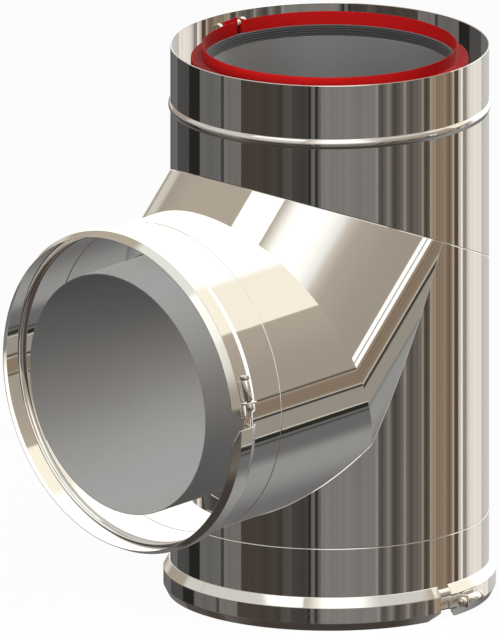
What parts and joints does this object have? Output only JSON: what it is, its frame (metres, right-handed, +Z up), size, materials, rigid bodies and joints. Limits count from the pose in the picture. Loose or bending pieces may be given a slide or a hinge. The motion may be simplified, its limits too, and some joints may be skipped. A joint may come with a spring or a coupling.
{
  "type": "twin-wall flue tee",
  "caption": "Twin-wall stainless flue tee: a straight flue run inside a polished jacket, with an 87 degree branch off a mitred shoulder, split locking clamps and a red inner clamp.",
  "frame": {"origin": "on the axis of the run, level with the bottom lip", "axes": "+Z up along the run; the branch leaves to -Y, 3 degrees below level; the clamp locks of the bottom and branch face +X"},
  "size_m": [0.247, 0.3421, 0.4088],
  "materials": {
    "polished_jacket": "mirror-polished stainless sheet",
    "polished_clamp": "polished stainless strip",
    "matt_flue": "matt stainless sheet",
    "spring_steel": "plain spring stainless strip",
    "red_clamp": "glossy red coated strip",
    "seal": "dark silicone lip seal",
    "plated_screw": "plated steel"
  },
  "bodies": {
    "tee": {"upper_jacket": "polished_jacket", "shoulder_jacket": "polished_jacket", "branch_jacket": "polished_jacket", "lower_jacket": "polished_jacket", "branch_collar": "polished_jacket", "bottom_collar": "polished_jacket", "inner_main_pipe": "matt_flue", "inner_branch_pipe": "matt_flue", "inner_socket": "matt_flue", "socket_seal": "seal", "bottom_spacer": "spring_steel", "top_spacer": "spring_steel", "branch_spacer": "spring_steel", "bottom_clamp_band": "polished_clamp", "bottom_clamp_tongue": "polished_clamp", "bottom_clamp_lug": "polished_clamp", "bottom_clamp_nut": "plated_screw", "branch_clamp_band": "polished_clamp", "branch_clamp_tongue": "polished_clamp", "branch_clamp_lug": "polished_clamp", "branch_clamp_nut": "plated_screw", "inner_clamp_band": "red_clamp", "inner_clamp_lug": "red_clamp", "inner_clamp_nut": "plated_screw"},
    "bottom_clamp_draw": {"bottom_clamp_screw": "plated_screw"},
    "branch_clamp_draw": {"branch_clamp_screw": "plated_screw"},
    "inner_clamp_draw": {"inner_clamp_screw": "plated_screw"}
  },
  "joints": [
    {"name": "bottom_clamp_screw_turn", "type": "hinge", "parent": "tee", "child": "bottom_clamp_draw", "pos_m": [0.12138, 0.02359, 0.0118], "axis": [0.1908, -0.9816, 0], "continuous": true},
    {"name": "branch_clamp_screw_turn", "type": "hinge", "parent": "tee", "child": "branch_clamp_draw", "pos_m": [0.12138, -0.20545, 0.21054], "axis": [0.1908, 0.0514, -0.9803], "continuous": true},
    {"name": "inner_clamp_screw_turn", "type": "hinge", "parent": "tee", "child": "inner_clamp_draw", "pos_m": [-0.09549, -0.00936, 0.4038], "axis": [-0.0976, 0.9952, 0], "continuous": true}
  ]
}
